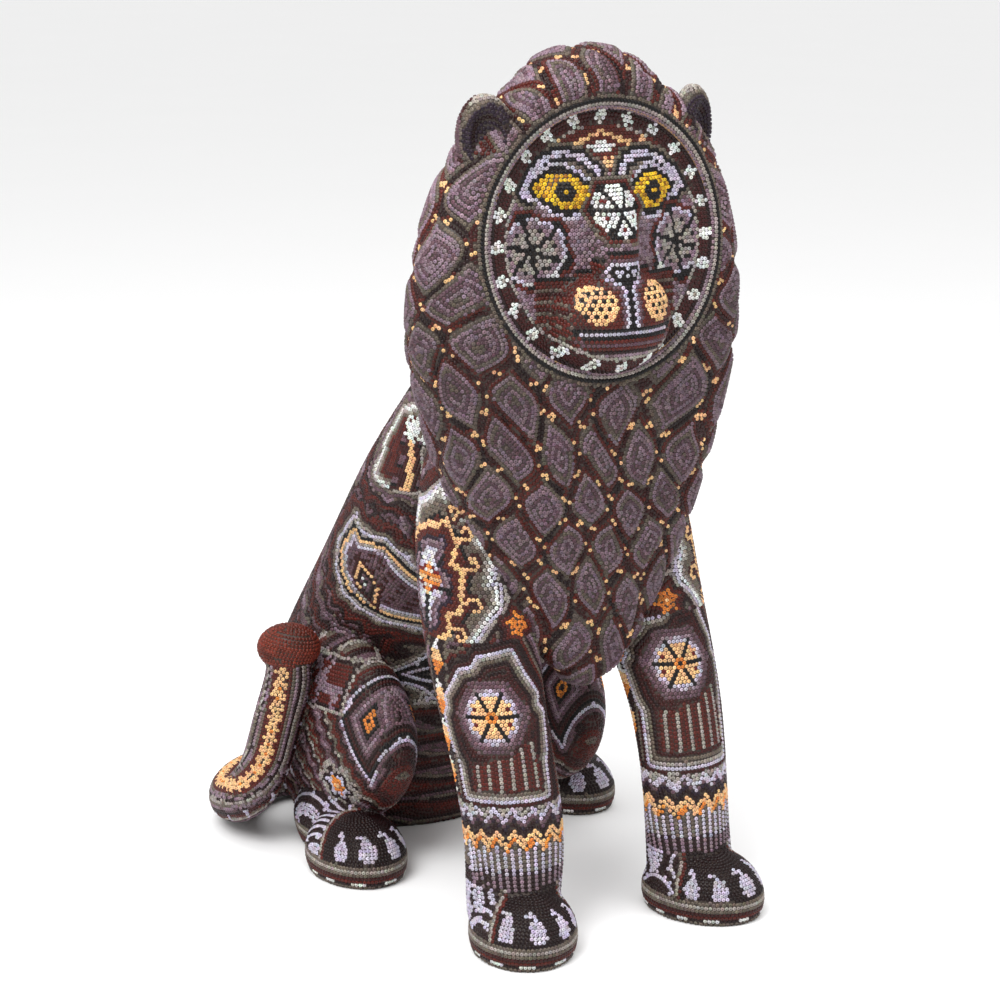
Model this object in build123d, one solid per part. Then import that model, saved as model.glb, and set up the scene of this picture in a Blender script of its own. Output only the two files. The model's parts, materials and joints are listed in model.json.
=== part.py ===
from build123d import *
import math
import os

# Seated lion, beaded folk sculpture.  Millimetres, +Z up, the lion faces -Y,
# its own right side is -X.  Origin: on the ground under the middle of the
# bounding box.  The bottom of the sculpture is flat at Z = 0.
# The shapes are first drawn about the lion's own plane of symmetry, X = 0,
# and moved by SHIFT at the end, because the tail makes the right side wider.

# ---------------------------------------------------------------- main sizes
BEAD_COAT = 1.6        # height of the glass beads pressed into the wax
WAX_COAT = 1.0         # beeswax and resin layer under the beads
HEIGHT = 447.0         # ground to the top of the mane
DOWEL = 12.0           # wooden dowels of the big joints
PIN = 6.0              # thinner pins of the ears and tail

SHIFT = (8.309, 26.345, 0.0)   # from the plane of symmetry to the box centre

# body sections: height, centre y, half width, half depth front, half depth back
TORSO = [
    (0.0, 72.0, 63.0, 54.0, 57.0),
    (28.0, 74.0, 72.0, 64.0, 67.0),
    (62.0, 72.0, 76.0, 66.0, 70.0),
    (98.0, 59.0, 75.0, 63.0, 68.0),
    (133.0, 37.0, 72.0, 60.0, 64.0),
    (168.0, 12.0, 69.0, 58.0, 60.0),
    (205.0, -14.0, 66.0, 60.0, 57.0),
    (243.0, -42.0, 62.0, 56.0, 50.0),
    (280.0, -68.0, 53.0, 42.0, 42.0),
]
# chest and mane sections
MANE = [
    (126.0, -130.0, 9.0, 9.0, 9.0),
    (148.0, -127.0, 31.0, 19.0, 32.0),
    (182.0, -125.0, 52.0, 26.0, 50.0),
    (222.0, -124.0, 67.0, 30.0, 60.0),
    (262.0, -123.0, 81.0, 32.0, 63.0),
    (302.0, -123.0, 90.0, 32.0, 62.0),
    (340.0, -124.0, 89.0, 30.0, 56.0),
    (376.0, -126.0, 80.0, 27.0, 49.0),
    (408.0, -129.0, 62.0, 22.0, 41.0),
    (432.0, -132.0, 36.0, 16.0, 27.0),
]
MANE_SQUARE = 2.8      # the front of the mane is flatter than an ellipse
FACE_Y = -147.0        # plane of the face ring
FACE_Z = 354.0         # height of the ring centre
FACE_TILT = 4.0        # the ring leans forward at the bottom, degrees
RING_R = 67.0          # outer radius of the ring
RING_IN = 53.0         # inner radius of the ring

CROWN_Z = 396.0        # height where the crown locks start
CHEST_Z = 236.0        # height where the mane meets the chest locks

# foreleg sections: height, centre x, centre y, half width, half depth
FORELEG = [
    (14.0, 54.0, -152.0, 23.0, 22.0),
    (40.0, 53.0, -151.0, 24.5, 20.0),
    (75.0, 53.0, -146.0, 25.5, 20.0),
    (110.0, 54.0, -134.0, 26.5, 23.0),
    (145.0, 52.0, -118.0, 28.5, 28.0),
    (185.0, 47.0, -102.0, 30.0, 35.0),
    (225.0, 40.0, -92.0, 29.0, 38.0),
    (255.0, 35.0, -86.0, 24.0, 31.0),
]
TOE_OUT = 20.0
LEG_SPLIT = 34.0       # height where the paw pattern meets the leg pattern
FRONT_PAW = (55.0, -163.0, 9.0, 27.0, 34.0, 24.0)      # centre, radii
HAUNCH = (64.0, 22.0, 70.0, 25.0, 70.0, 52.0)
HIND_PAW_R = (-77.0, -22.0, 9.0, 26.0, 36.0, 23.0)
HIND_PAW_L = (80.0, 18.0, 9.0, 26.0, 36.0, 23.0)
SHANK_R = (-70.5, 11.0, 14.0, 18.0, 38.5, 24.5)
SHANK_L = (73.0, 50.0, 14.0, 18.0, 38.0, 24.0)
EAR = (60.0, -134.0, 406.0, 14.0, 9.0, 21.0)
MUZZLE = (0.0, -149.0, 316.0, 34.0, 26.0, 28.0)
BRIDGE = (0.0, -142.0, 352.0, 17.0, 26.0, 38.0)
FACE_DOME = (0.0, -125.0, 354.0, 56.0, 33.0, 56.0)

# tail centre line and radius: x, y, z, radius
TAIL = [
    (-31.0, 92.0, 16.0, 15.0),
    (-60.0, 104.0, 15.5, 14.5),
    (-90.0, 96.0, 15.5, 14.0),
    (-107.0, 70.0, 18.0, 13.5),
    (-109.0, 43.0, 31.0, 13.2),
    (-106.0, 27.0, 54.0, 13.0),
    (-102.0, 19.0, 82.0, 12.8),
    (-98.0, 15.5, 114.0, 12.2),
]
TUFT = (-97.0, 16.0, 119.0, 13.0, 17.0, 13.0)
TUFT_Z = 111.0         # height where the tuft pattern starts


def ring_wire(z, xc, yc, a, bf, bb, t, turn=0.0, n=12, square=2.0):
    """Closed horizontal section; square above 2 flattens its front half."""
    pts = []
    for i in range(n):
        u = 2 * math.pi * i / n
        c, s = math.cos(u), math.sin(u)
        e = 2.0 / square if s < -1e-6 else 1.0
        x = (a - t) * math.copysign(abs(c) ** e, c)
        y = ((bb if s > 0 else bf) - t) * math.copysign(abs(s) ** e, s)
        c, d = math.cos(math.radians(turn)), math.sin(math.radians(turn))
        pts.append((xc + x * c - y * d, yc + x * d + y * c, z))
    return Wire([Edge.make_spline([Vector(*p) for p in pts], periodic=True)])


def ellipsoid(c, t, turn=0.0, tilt=0.0):
    x, y, z, rx, ry, rz = c
    s = scale(Sphere(1.0), by=(rx - t, ry - t, rz - t))
    return Location((x, y, z), (tilt, 0, turn)) * s


def above_ground(s):
    big = Pos(0, 0, -250) * Box(900, 900, 500)
    return s - big


def torso(t):
    w = [ring_wire(z, 0, yc, a, bf, bb, t) for z, yc, a, bf, bb in TORSO[:-1]]
    z, yc, a, bf, bb = TORSO[-1]
    w.append(ring_wire(z - t, 0, yc, a, bf, bb, t))
    return Solid.make_loft(w)


def mane(t):
    z, yc, a, bf, bb = MANE[0]
    w = [ring_wire(z + t, 0, yc, a, bf, bb, t)]
    w += [ring_wire(z, 0, yc, a, bf, bb, t, square=MANE_SQUARE if i > 1 else 2.3)
          for i, (z, yc, a, bf, bb) in enumerate(MANE[1:])]
    body = Solid.make_loft(w)
    z, yc, a, bf, bb = MANE[-1]
    cap = ellipsoid((0, yc + 5, z - 6, a + 1, (bf + bb) / 2 + 1, HEIGHT - z + 6), t)
    # round recess where the face is set in
    recess = face_frame() * Pos(0, t, 0) * Rot(90, 0, 0) * Cylinder(RING_R - t, 60, align=(Align.CENTER, Align.CENTER, Align.MIN))
    return body + cap - recess


def face_frame():
    return Location((0, FACE_Y, FACE_Z), (-FACE_TILT, 0, 0))


def face(t):
    d = ellipsoid(FACE_DOME, t)
    m = ellipsoid(MUZZLE, t)
    b = ellipsoid(BRIDGE, t, tilt=-12)
    plate = face_frame() * Pos(0, t, 0) * Rot(90, 0, 0) * Cylinder(RING_R - t, 8.0, align=(Align.CENTER, Align.CENTER, Align.MAX))
    return d + m + b + plate


def foreleg(t, side):
    w = [ring_wire(z, side * xc, yc, a, b, b, t, turn=side * TOE_OUT) for z, xc, yc, a, b in FORELEG[:-1]]
    z, xc, yc, a, b = FORELEG[-1]
    w.append(ring_wire(z - t, side * xc, yc, a, b, b, t, turn=side * TOE_OUT))
    leg = Solid.make_loft(w)
    x, y, z, rx, ry, rz = FRONT_PAW
    paw = ellipsoid((side * x, y, z, rx, ry, rz), t, turn=side * TOE_OUT)
    return above_ground(leg + paw)


def haunch(t, side):
    x, y, z, rx, ry, rz = HAUNCH
    return above_ground(ellipsoid((side * x, y, z, rx, ry, rz), t, turn=side * -4.0))


def hind_paw(t, side):
    c = HIND_PAW_R if side < 0 else HIND_PAW_L
    k = SHANK_R if side < 0 else SHANK_L
    return above_ground(ellipsoid(c, t, turn=side * 6.0) + ellipsoid(k, t, turn=side * -4.0))


def tail(t):
    pts = [Vector(x, y, z) for x, y, z, r in TAIL]
    line = Edge.make_spline(pts)
    ws = []
    n = len(TAIL)
    for i, (x, y, z, r) in enumerate(TAIL):
        tan = line.tangent_at(line.param_at_point(pts[i]))
        c = Edge.make_circle(r - t, Plane(origin=pts[i], z_dir=tan))
        ws.append(Wire([c]))
    body = Solid.make_loft(ws)
    return above_ground(body + ellipsoid(TUFT, t, turn=58))


def ear(t, side):
    x, y, z, rx, ry, rz = EAR
    e = ellipsoid((side * x, y, z, rx, ry, rz), t, turn=side * 35.0)
    hollow = Location((side * (x + 3.5), y - 8.5, z + 1.0), (0, 0, side * 35.0)) * scale(Sphere(1.0), by=(rx - 5 + t, 6.5 + t, rz - 6 + t))
    return e - hollow


ORDER = ["face", "mane", "torso", "foreleg_right", "foreleg_left", "haunch_right",
         "haunch_left", "hind_paw_right", "hind_paw_left", "tail", "ear_right", "ear_left"]
TOUCH = [("face", "mane"), ("mane", "torso"), ("mane", "foreleg_right"), ("mane", "foreleg_left"),
         ("mane", "ear_right"), ("mane", "ear_left"), ("torso", "foreleg_right"),
         ("torso", "foreleg_left"), ("torso", "haunch_right"), ("torso", "haunch_left"),
         ("torso", "hind_paw_right"), ("torso", "hind_paw_left"), ("torso", "tail"),
         ("haunch_right", "hind_paw_right"), ("haunch_left", "hind_paw_left"),
         ("haunch_right", "tail"), ("hind_paw_right", "tail")]
SHAPE = {
    "mane": mane, "face": face, "torso": torso, "tail": tail,
    "foreleg_right": lambda t: foreleg(t, -1), "foreleg_left": lambda t: foreleg(t, 1),
    "haunch_right": lambda t: haunch(t, -1), "haunch_left": lambda t: haunch(t, 1),
    "hind_paw_right": lambda t: hind_paw(t, -1), "hind_paw_left": lambda t: hind_paw(t, 1),
    "ear_right": lambda t: ear(t, -1), "ear_left": lambda t: ear(t, 1),
}


def neighbours(n):
    return [b if a == n else a for a, b in TOUCH if n in (a, b)]


def solid_list(s):
    """The solids in a boolean's result, slivers dropped."""
    if s is None:
        return []
    found = [q for item in s for q in item.solids()] if isinstance(s, list) else s.solids()
    return [q for q in found if q.volume > 5.0]


def minus(s, tools):
    """s without the tools, small slivers dropped."""
    out = solid_list(s)
    for tool in tools:
        kept = []
        for q in out:
            kept += solid_list(q - tool)
        out = kept
    return out


def inside(solids, tool):
    out = []
    for q in solids:
        out += solid_list(q & tool)
    return out


def save(name, solids):
    placed = [Pos(*SHIFT) * q for q in solids]
    export_step(placed[0] if len(placed) == 1 else Compound(placed), f"parts/{name}.step")
    print(name, len(placed), round(sum(q.volume for q in placed) / 1000, 2), "cm3", flush=True)


OUTER = {n: SHAPE[n](0.0) for n in ORDER}
WAX = {n: SHAPE[n](BEAD_COAT) for n in ORDER}
WOOD = {n: SHAPE[n](BEAD_COAT + WAX_COAT) for n in ORDER}

# ---------------------------------------------------------------- dowels
def rod_y(x, y0, y1, z, d):
    return Pos(x, (y0 + y1) / 2, z) * Rot(90, 0, 0) * Cylinder(d / 2, abs(y1 - y0))


def rod_x(x0, x1, y, z, d):
    return Pos((x0 + x1) / 2, y, z) * Rot(0, 90, 0) * Cylinder(d / 2, abs(x1 - x0))


def rod_z(x, y, z0, z1, d):
    return Pos(x, y, (z0 + z1) / 2) * Cylinder(d / 2, abs(z1 - z0))


DOWELS = {
    "neck_dowels": [rod_y(x, -104, -36, 260, DOWEL) for x in (-18, 18)],
    "face_dowels": [rod_y(x, -136, -78, 354, DOWEL) for x in (-26, 26)],
    "foreleg_dowels": [rod_y(x, -106, -46, 216, DOWEL) for x in (-38, 38)],
    "haunch_dowels": [rod_x(s * 34, s * 78, y, 72, DOWEL) for s in (-1, 1) for y in (12, 50)],
    "hind_paw_dowels": [rod_z(x, y, 12, 48, PIN) for x, y in ((-71, 12), (74, 44))],
    "tail_pins": [rod_x(-84, -40, 100, 16, PIN), rod_x(-104, -74, 18.5, 84, PIN)],
    "ear_pins": [rod_x(s * 44, s * 58, -132, 402, PIN - 2) for s in (-1, 1)],
}
ALL_DOWELS = {n: Compound([q for r in rods for q in r.solids()]) for n, rods in DOWELS.items()}
DOWEL_HOSTS = {
    "neck_dowels": ("mane", "torso"), "face_dowels": ("mane", "face"),
    "foreleg_dowels": ("torso", "foreleg_right", "foreleg_left"),
    "haunch_dowels": ("torso", "haunch_right", "haunch_left"),
    "hind_paw_dowels": ("haunch_right", "haunch_left", "hind_paw_right", "hind_paw_left"),
    "tail_pins": ("torso", "tail", "haunch_right"),
    "ear_pins": ("mane", "ear_right", "ear_left"),
}

# ---------------------------------------------------------------- layers
core, wax, beads = {}, {}, {}
for i, n in enumerate(ORDER):
    near = neighbours(n)
    before = [m for m in near if ORDER.index(m) < i]
    after = [n] + [m for m in near if ORDER.index(m) > i]
    core[n] = minus(WOOD[n], [WOOD[m] for m in before] + [r for d, hosts in DOWEL_HOSTS.items() if n in hosts for r in DOWELS[d]])
    wax[n] = minus(WAX[n], [WAX[m] for m in before] + [WOOD[m] for m in after])
    beads[n] = minus(OUTER[n], [OUTER[m] for m in before] + [WAX[m] for m in after])

BIG = 1200.0
def slab(z0, z1):
    return Pos(0, 0, (z0 + z1) / 2) * Box(BIG, BIG, z1 - z0)


def half(side):
    return Pos(side * BIG / 2, 0, 0) * Box(BIG, BIG, BIG)


os.makedirs("parts", exist_ok=True)
for n in ORDER:
    save(f"{n}_core", core[n])
    save(f"{n}_wax", wax[n])
for n, rods in DOWELS.items():
    save(n, [q for r in rods for q in r.solids()])

# bead coats, cut where one pattern field ends and the next begins
disc = face_frame() * Rot(90, 0, 0) * Cylinder(RING_IN, 200)
save("face_beads", inside(beads["face"], disc))
save("face_ring_beads", minus(beads["face"], [disc]))
save("crown_beads", inside(beads["mane"], slab(CROWN_Z, 600)))
save("chest_beads", inside(beads["mane"], slab(0, CHEST_Z)))
middle = inside(beads["mane"], slab(CHEST_Z, CROWN_Z))
save("mane_right_beads", inside(middle, half(-1)))
save("mane_left_beads", inside(middle, half(1)))
save("torso_right_beads", inside(beads["torso"], half(-1)))
save("torso_left_beads", inside(beads["torso"], half(1)))
for side in ("right", "left"):
    save(f"front_paw_{side}_beads", inside(beads[f"foreleg_{side}"], slab(-10, LEG_SPLIT)))
    save(f"foreleg_{side}_beads", inside(beads[f"foreleg_{side}"], slab(LEG_SPLIT, 600)))
    save(f"haunch_{side}_beads", beads[f"haunch_{side}"])
    save(f"hind_paw_{side}_beads", beads[f"hind_paw_{side}"])
    save(f"ear_{side}_beads", beads[f"ear_{side}"])
save("tail_beads", inside(beads["tail"], slab(-10, TUFT_Z)))
save("tail_tuft_beads", inside(beads["tail"], slab(TUFT_Z, 600)))
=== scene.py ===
import math

import bpy
import numpy as np
from mathutils import Matrix, Vector
from mathutils.bvhtree import BVHTree
from mathutils.kdtree import KDTree
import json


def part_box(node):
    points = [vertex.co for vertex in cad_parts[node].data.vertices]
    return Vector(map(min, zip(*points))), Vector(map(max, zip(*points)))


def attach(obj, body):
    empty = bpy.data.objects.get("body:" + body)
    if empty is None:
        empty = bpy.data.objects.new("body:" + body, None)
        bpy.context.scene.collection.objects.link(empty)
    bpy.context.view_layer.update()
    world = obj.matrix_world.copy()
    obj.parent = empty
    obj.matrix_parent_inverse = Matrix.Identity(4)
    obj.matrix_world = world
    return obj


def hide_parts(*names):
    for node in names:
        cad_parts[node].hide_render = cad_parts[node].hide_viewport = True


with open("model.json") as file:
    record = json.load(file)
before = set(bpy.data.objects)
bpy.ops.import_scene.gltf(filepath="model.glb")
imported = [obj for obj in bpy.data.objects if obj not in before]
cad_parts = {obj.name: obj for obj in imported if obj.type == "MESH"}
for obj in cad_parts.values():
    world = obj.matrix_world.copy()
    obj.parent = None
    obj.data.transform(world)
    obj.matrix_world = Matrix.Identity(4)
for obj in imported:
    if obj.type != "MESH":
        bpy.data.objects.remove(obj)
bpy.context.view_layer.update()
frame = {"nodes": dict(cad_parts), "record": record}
rng = np.random.default_rng(11)

PITCH = 2.1     # bead to bead, mm
ROW = 1.84      # row to row, mm

# ------------------------------------------------------------------ frame
crown = np.array(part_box("crown_beads")) * 1000.0
back = np.array(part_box("torso_right_beads")) * 1000.0
SHIFT = np.array([(crown[0][0] + crown[1][0]) / 2.0, back[1][1] - 143.567, 0.0])

BEAD_NODES = [n for n in frame["nodes"] if n.endswith("_beads")]
WAX_NODES = [n for n in frame["nodes"] if n.endswith("_wax")]
SOLID = [n for n in frame["nodes"] if n.endswith(("_beads", "_wax", "_core"))]


def grab(names):
    vs, fs, ids, base = [], [], [], 0
    for k, n in enumerate(names):
        ob = frame["nodes"][n]
        me = ob.data
        v = np.empty(len(me.vertices) * 3)
        me.vertices.foreach_get("co", v)
        m = np.array(ob.matrix_world)
        v = v.reshape(-1, 3) @ m[:3, :3].T + m[:3, 3]
        me.calc_loop_triangles()
        t = np.empty(len(me.loop_triangles) * 3, dtype=np.int64)
        me.loop_triangles.foreach_get("vertices", t)
        vs.append(v * 1000.0 - SHIFT)
        fs.append(t.reshape(-1, 3) + base)
        ids.append(np.full(len(t) // 3, k))
        base += len(v)
    return np.concatenate(vs), np.concatenate(fs), np.concatenate(ids)


def make_mesh(name, v, f):
    me = bpy.data.meshes.new(name)
    k = f.shape[1]
    me.vertices.add(len(v))
    me.vertices.foreach_set("co", np.ascontiguousarray(v, dtype=np.float32).ravel())
    me.loops.add(f.size)
    me.loops.foreach_set("vertex_index", np.ascontiguousarray(f, dtype=np.int32).ravel())
    me.polygons.add(len(f))
    me.polygons.foreach_set("loop_start", np.arange(0, f.size, k, dtype=np.int32))
    me.polygons.foreach_set("loop_total", np.full(len(f), k, dtype=np.int32))
    me.update(calc_edges=True)
    return me


# ------------------------------------------------------------------ carved form
def carved_form(voxel):
    v, f, _ = grab(SOLID)
    ob = bpy.data.objects.new("form", make_mesh("form", v, f))
    bpy.context.scene.collection.objects.link(ob)
    mod = ob.modifiers.new("r", "REMESH")
    mod.mode = "VOXEL"
    mod.voxel_size = voxel
    dg = bpy.context.evaluated_depsgraph_get()
    me = ob.evaluated_get(dg).to_mesh()
    n = len(me.vertices)
    v = np.empty(n * 3)
    me.vertices.foreach_get("co", v)
    v = v.reshape(-1, 3)
    me.calc_loop_triangles()
    t = np.empty(len(me.loop_triangles) * 3, dtype=np.int64)
    me.loop_triangles.foreach_get("vertices", t)
    t = t.reshape(-1, 3)
    e = np.empty(len(me.edges) * 2, dtype=np.int64)
    me.edges.foreach_get("vertices", e)
    e = e.reshape(-1, 2)
    bpy.data.objects.remove(ob)
    # keep the outer skin only
    lab = np.arange(n)
    while True:
        m = np.minimum(lab[e[:, 0]], lab[e[:, 1]])
        new = lab.copy()
        np.minimum.at(new, e[:, 0], m)
        np.minimum.at(new, e[:, 1], m)
        new = new[new]
        if (new == lab).all():
            break
        lab = new
    top = lab[np.argmax(v[:, 2])]
    keep = lab == top
    idx = np.cumsum(keep) - 1
    return v[keep], idx[t[keep[t[:, 0]]]], idx[e[keep[e[:, 0]]]]


def smooth(v, e, rounds, a=0.55, b=-0.57):
    n = len(v)
    deg = np.bincount(e.ravel(), minlength=n).astype(float)[:, None]
    low = v[:, 2] < 0.9
    for k in range(rounds * 2):
        s = np.empty_like(v)
        for c in range(3):
            s[:, c] = np.bincount(e[:, 0], v[e[:, 1], c], n) + np.bincount(e[:, 1], v[e[:, 0], c], n)
        d = s / deg - v
        d[low, 2] = 0
        v = v + (a if k % 2 == 0 else b) * d
    v[low, 2] = 0.0
    return v


def average(x, e, rounds=1):
    n = len(x)
    deg = np.bincount(e.ravel(), minlength=n).astype(float) + 1
    for _ in range(rounds):
        x = (x + np.bincount(e[:, 0], x[e[:, 1]], n) + np.bincount(e[:, 1], x[e[:, 0]], n)) / deg
    return x


def normals(v, t):
    n = np.cross(v[t[:, 1]] - v[t[:, 0]], v[t[:, 2]] - v[t[:, 0]])
    out = np.zeros_like(v)
    for k in range(3):
        for c in range(3):
            out[:, c] += np.bincount(t[:, k], n[:, c], len(v))
    return out / (np.linalg.norm(out, axis=1, keepdims=True) + 1e-12)


V, T, E = carved_form(1.6)
V = smooth(V, E, 9)
print("form", V.shape, T.shape, V.min(0), V.max(0))

# ------------------------------------------------------------------ regions
bead_v, bead_f, bead_id = grab(BEAD_NODES)
bead_tree = BVHTree.FromPolygons([Vector(p) for p in bead_v], bead_f.tolist())


def region_of(points):
    out = np.zeros(len(points), dtype=np.int64)
    near = bead_tree.find_nearest
    for i, p in enumerate(points.tolist()):
        out[i] = bead_id[near(p)[2]]
    return out


REG = {n: k for k, n in enumerate(BEAD_NODES)}
MANE = [REG[n] for n in ("crown_beads", "mane_right_beads", "mane_left_beads", "chest_beads")]


def is_in(lab, *names):
    return np.isin(lab, [REG[n] for n in names])


# ------------------------------------------------------------------ beading
def tri_edges(t):
    a = np.sort(np.stack([t[:, [0, 1]], t[:, [1, 2]], t[:, [2, 0]]], 1).reshape(-1, 2), axis=1)
    key = a[:, 0] * (t.max() + 1) + a[:, 1]
    _, inv = np.unique(key, return_inverse=True)
    return inv.reshape(-1, 3)


def rows_of(v, t, te, f, use, step):
    """Open and closed lines along f = (k + 1/2) * step over the triangles in use."""
    t, te = t[use], te[use]
    g = f / step - 0.5 + 1e-7
    ga = g[t]
    lo, hi = np.ceil(ga.min(1)), np.floor(ga.max(1))
    nodes_p, keys, level = [], [], []
    for j in range(6):
        k = lo + j
        m = k <= hi
        if not m.any():
            break
        tt, kk, gg, ee = t[m], k[m], ga[m], te[m]
        for a, b in ((0, 1), (1, 2), (2, 0)):
            c = (gg[:, a] < kk) != (gg[:, b] < kk)
            w = np.where(c, (kk - gg[:, a]) / np.where(c, gg[:, b] - gg[:, a], 1.0), 0)
            p = v[tt[:, a]] + w[:, None] * (v[tt[:, b]] - v[tt[:, a]])
            idn = np.nonzero(m)[0]
            nodes_p.append(np.where(c[:, None], p, np.nan))
            keys.append(np.where(c, ee[:, a].astype(np.int64) * 100003 + kk.astype(np.int64) + 50000, -1))
            level.append(kk)
    if not keys:
        return []
    segs_a, segs_b, P, K = [], [], [], []
    # the three edge slots of one triangle and level stand in a row of three
    for q in range(0, len(keys), 3):
        kq = np.stack(keys[q:q + 3], 1)
        pq = np.stack(nodes_p[q:q + 3], 1)
        ok = (kq >= 0).sum(1) == 2
        kq, pq, lq = kq[ok], pq[ok], level[q][ok]
        o = np.argsort(kq < 0, axis=1, kind="stable")[:, :2]
        r = np.arange(len(kq))[:, None]
        segs_a.append(kq[r, o])
        P.append(pq[r, o])
        K.append(lq)
    seg = np.concatenate(segs_a)
    pos = np.concatenate(P).reshape(-1, 3)
    lev = np.concatenate(K)
    uniq, first, inv = np.unique(seg.ravel(), return_index=True, return_inverse=True)
    pos, seg = pos[first], inv.reshape(-1, 2)
    nlev = np.repeat(lev, 2)[first]
    n = len(uniq)
    ends = np.concatenate([seg[:, 0], seg[:, 1]])
    other = np.concatenate([seg[:, 1], seg[:, 0]])
    o = np.argsort(ends, kind="stable")
    ends, other = ends[o], other[o]
    s = np.searchsorted(ends, np.arange(n))
    cnt = np.bincount(ends, minlength=n)
    n1 = other[s].tolist()
    n2 = np.where(cnt > 1, other[np.minimum(s + 1, len(other) - 1)], -1).tolist()
    seen = bytearray(n)
    lines = []
    order = np.nonzero(cnt == 1)[0].tolist() + list(range(n))
    for i in order:
        if seen[i]:
            continue
        path, cur, prev = [i], i, -1
        seen[i] = 1
        closed = False
        while True:
            a, b = n1[cur], n2[cur]
            nxt = a if a != prev else b
            if prev == -1:
                nxt = a
            if nxt == -1:
                break
            if seen[nxt]:
                closed = nxt == i and len(path) > 3
                break
            seen[nxt] = 1
            path.append(nxt)
            prev, cur = cur, nxt
        lines.append((pos[path], closed, float(nlev[i])))
    return lines


def string_beads(lines, pitch):
    """Beads evenly along each line; returns positions and the row number."""
    out, row = [], []
    for p, closed, k in lines:
        if closed:
            p = np.concatenate([p, p[:1]])
        d = np.linalg.norm(np.diff(p, axis=0), axis=1)
        s = np.concatenate([[0], np.cumsum(d)])
        if s[-1] < pitch * 0.45:
            continue
        n = max(1, int(round(s[-1] / pitch)))
        x = (np.arange(n) + (0.5 if not closed else rng.random())) * s[-1] / n
        out.append(np.stack([np.interp(x, s, p[:, c]) for c in range(3)], 1))
        row.append(np.full(n, k))
    if not out:
        return np.zeros((0, 3)), np.zeros(0)
    return np.concatenate(out), np.concatenate(row)


def tree_of(p):
    kd = KDTree(len(p))
    for i, q in enumerate(p.tolist()):
        kd.insert(q, i)
    kd.balance()
    return kd


def thin(p, rank, r):
    """Drops beads closer than r to a bead of better (lower) rank."""
    kd = tree_of(p)
    alive = np.ones(len(p), bool)
    for i in np.lexsort((np.arange(len(p)), rank)).tolist():
        if not alive[i]:
            continue
        for _, j, _ in kd.find_range(p[i], r):
            if j != i and alive[j]:
                alive[j] = False
    return alive


def fill(p, cand, r):
    """More beads wherever a spot lies further than r from every bead."""
    kd = tree_of(p)
    find = kd.find
    d = np.array([find(q)[2] for q in cand.tolist()])
    o = np.nonzero(d > r)[0]
    o = o[np.argsort(-d[o], kind="stable")]
    grid, new = {}, []
    for i in o.tolist():
        q = cand[i]
        c = (int(q[0] // r), int(q[1] // r), int(q[2] // r))
        near = False
        for a in (-1, 0, 1):
            for b in (-1, 0, 1):
                for e in (-1, 0, 1):
                    for w in grid.get((c[0] + a, c[1] + b, c[2] + e), ()):
                        if (w[0] - q[0]) ** 2 + (w[1] - q[1]) ** 2 + (w[2] - q[2]) ** 2 < r * r:
                            near = True
                            break
                    if near:
                        break
                if near:
                    break
            if near:
                break
        if not near:
            grid.setdefault(c, []).append(q)
            new.append(i)
    return cand[new]


def close_pairs(p, r):
    c = np.floor((p - p.min(0)) / r).astype(np.int64) + 1
    sx, sy = (c[:, 1].max() + 2) * (c[:, 2].max() + 2), c[:, 2].max() + 2
    key = c[:, 0] * sx + c[:, 1] * sy + c[:, 2]
    o = np.argsort(key, kind="stable")
    ks = key[o]
    I, J = [], []
    offs = [(a, b, e) for a in (-1, 0, 1) for b in (-1, 0, 1) for e in (-1, 0, 1) if (a, b, e) >= (0, 0, 0)]
    n = len(p)
    idx = np.arange(n)
    for a, b, e in offs:
        tk = ks + a * sx + b * sy + e
        lo, hi = np.searchsorted(ks, tk, "left"), np.searchsorted(ks, tk, "right")
        if (a, b, e) == (0, 0, 0):
            lo = idx + 1
            hi = np.maximum(hi, lo)
        cnt = hi - lo
        i = np.repeat(idx, cnt)
        j = np.arange(cnt.sum()) - np.repeat(np.cumsum(cnt) - cnt, cnt) + np.repeat(lo, cnt)
        i, j = o[i], o[j]
        m = ((p[i] - p[j]) ** 2).sum(1) < r * r
        I.append(i[m])
        J.append(j[m])
    return np.concatenate(I), np.concatenate(J)


def relax(p, weight, rounds, tree, target):
    near = tree.find_nearest
    for _ in range(rounds):
        i, j = close_pairs(p, target)
        d = p[i] - p[j]
        r = np.linalg.norm(d, axis=1, keepdims=True) + 1e-9
        f = (target - r) / r * d * 0.5
        wi, wj = weight[i][:, None], weight[j][:, None]
        s = wi + wj + 1e-9
        mv = np.zeros_like(p)
        for c in range(3):
            mv[:, c] = np.bincount(i, f[:, c] * (2 * wi / s)[:, 0], len(p)) - np.bincount(j, f[:, c] * (2 * wj / s)[:, 0], len(p))
        ln = np.linalg.norm(mv, axis=1, keepdims=True)
        mv *= np.minimum(1.0, 0.5 / (ln + 1e-9))
        p = p + 0.8 * mv
        p = np.array([near(q)[0][:] for q in p.tolist()])
    return p


# ------------------------------------------------------------------ flat shapes
def sd_poly(a, b, poly):
    """Signed distance to a closed outline, negative inside."""
    q = np.array(poly, float)
    d, inside = np.full(a.shape, 1e9), np.zeros(a.shape, bool)
    for (x0, y0), (x1, y1) in zip(q, np.roll(q, -1, 0)):
        ex, ey = x1 - x0, y1 - y0
        t = np.clip(((a - x0) * ex + (b - y0) * ey) / (ex * ex + ey * ey), 0, 1)
        d = np.minimum(d, np.hypot(a - x0 - t * ex, b - y0 - t * ey))
        if ey != 0:
            inside ^= ((y0 > b) != (y1 > b)) & (a < ex * (b - y0) / ey + x0)
    return np.where(inside, -d, d)


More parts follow.
